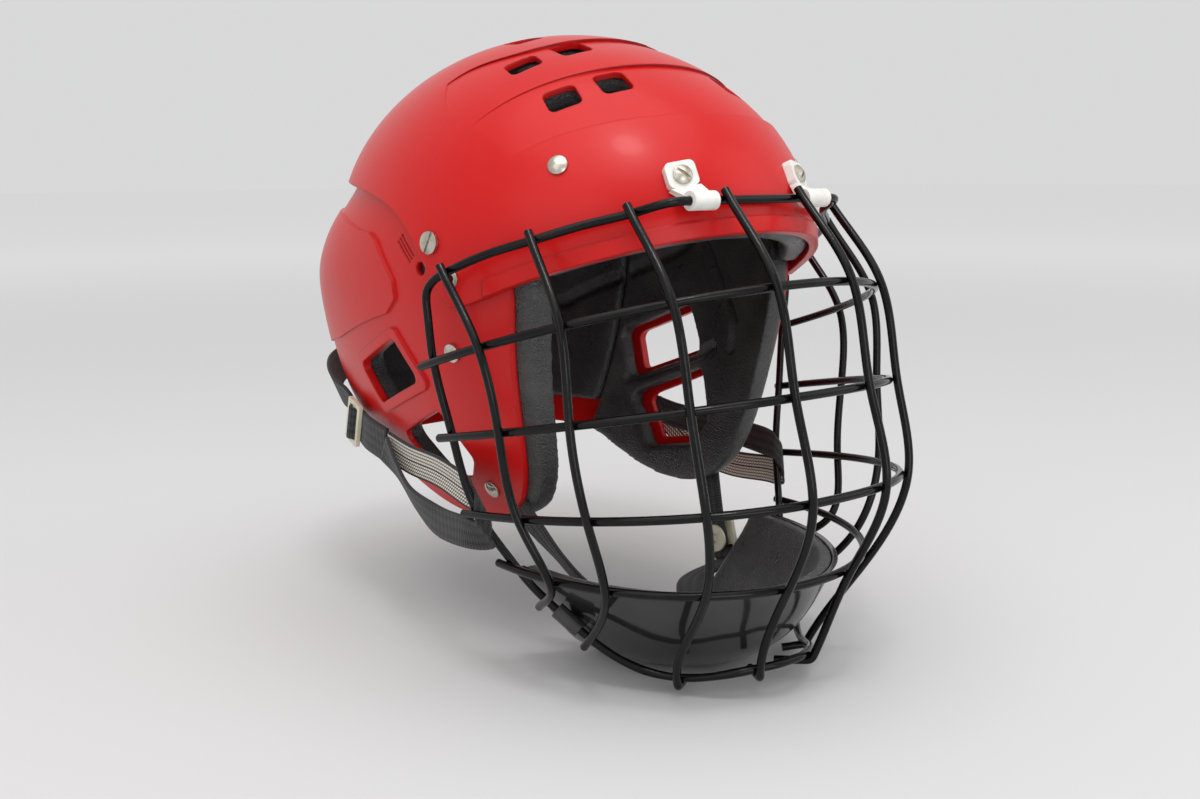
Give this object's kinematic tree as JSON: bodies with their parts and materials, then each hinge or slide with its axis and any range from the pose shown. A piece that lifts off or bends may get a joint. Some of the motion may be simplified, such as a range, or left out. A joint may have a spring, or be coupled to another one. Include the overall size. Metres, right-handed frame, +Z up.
{
  "type": "ice hockey helmet",
  "caption": "Ice hockey helmet: red crown and sliding rear shell over black foam, a hinged black wire cage with a chin cup, and webbing straps.",
  "frame": {"origin": "middle of the head space, on the mirror plane, at the level of the wearer's brow", "axes": "+Z up, -Y out of the face, +X to the wearer's left, in the pose worn on an upright head"},
  "size_m": [0.2188, 0.3377, 0.2797],
  "materials": {
    "red_shell": "glossy moulded red plastic",
    "black_foam": "dull black closed-cell foam with a skin",
    "plated_steel": "nickel-plated, a little dull",
    "white_plastic": "white moulded plastic",
    "black_wire": "glossy black coated steel wire",
    "black_plastic": "glossy black moulded plastic",
    "black_webbing": "ribbed black webbing, pale weave on the inner face of the cage straps",
    "cream_plastic": "cream moulded plastic"
  },
  "bodies": {
    "crown": {"crown_shell": "red_shell", "brow_pad": "black_foam", "crown_liner": "black_foam", "cage_clip_screws": "plated_steel", "cage_clip_nuts": "plated_steel", "brow_pad_rivets": "plated_steel", "size_screw_nuts": "plated_steel", "side_eyelets": "plated_steel", "cage_clip_left": "white_plastic", "cage_clip_right": "white_plastic"},
    "rear": {"rear_shell": "red_shell", "cheek_pad_left": "black_foam", "cheek_pad_right": "black_foam", "nape_pad_left": "black_foam", "nape_pad_right": "black_foam", "cheek_pad_rivets": "plated_steel", "chin_strap_rivets": "plated_steel", "chin_strap_long": "black_webbing", "chin_strap_short": "black_webbing", "chin_adjuster": "cream_plastic"},
    "cage": {"cage_rim_wire": "black_wire", "cage_cross_wire_1": "black_wire", "cage_cross_wire_2": "black_wire", "cage_cross_wire_3": "black_wire", "cage_cross_wire_4": "black_wire", "cage_upright_middle_left": "black_wire", "cage_upright_middle_right": "black_wire", "cage_upright_inner_left": "black_wire", "cage_upright_inner_right": "black_wire", "cage_upright_outer_left": "black_wire", "cage_upright_outer_right": "black_wire", "cage_upright_side_left": "black_wire", "cage_upright_side_right": "black_wire", "chin_cup": "black_plastic", "chin_cup_lining": "black_foam", "chin_cup_tab_left": "black_plastic", "chin_cup_tab_right": "black_plastic", "chin_cup_studs": "black_plastic", "cage_strap_left": "black_webbing", "cage_strap_right": "black_webbing", "nape_strap": "black_webbing", "strap_slider_left": "cream_plastic", "strap_slider_right": "cream_plastic"},
    "snap": {"snap_socket": "cream_plastic"},
    "size_screw_left": {"size_screw_left": "plated_steel"},
    "size_screw_right": {"size_screw_right": "plated_steel"}
  },
  "joints": [
    {"name": "cage_hinge", "type": "hinge", "parent": "crown", "child": "cage", "pos_m": [0, -0.12735, 0.01997], "axis": [-1, 0, 0], "range_deg": [0, 95], "deforming": ["nape_strap", "cage_strap_left", "cage_strap_right"]},
    {"name": "rear_slide", "type": "slide", "parent": "crown", "child": "rear", "axis": [0, 0.682, -0.7314], "range_m": [0, 0.008], "deforming": ["nape_strap", "cage_strap_left", "cage_strap_right", "chin_strap_long", "chin_strap_short"]},
    {"name": "chin_snap", "type": "slide", "parent": "rear", "child": "snap", "axis": [-1, 0, 0], "range_m": [0, 0.006], "deforming": ["chin_strap_short"]},
    {"name": "size_screw_left_turn", "type": "hinge", "parent": "crown", "child": "size_screw_left", "pos_m": [0.09835, -0.033, 0.0025], "axis": [0.9742, -0.218, 0.058], "continuous": true},
    {"name": "size_screw_right_turn", "type": "hinge", "parent": "crown", "child": "size_screw_right", "pos_m": [-0.09835, -0.033, 0.0025], "axis": [-0.9742, -0.218, 0.058], "continuous": true}
  ]
}
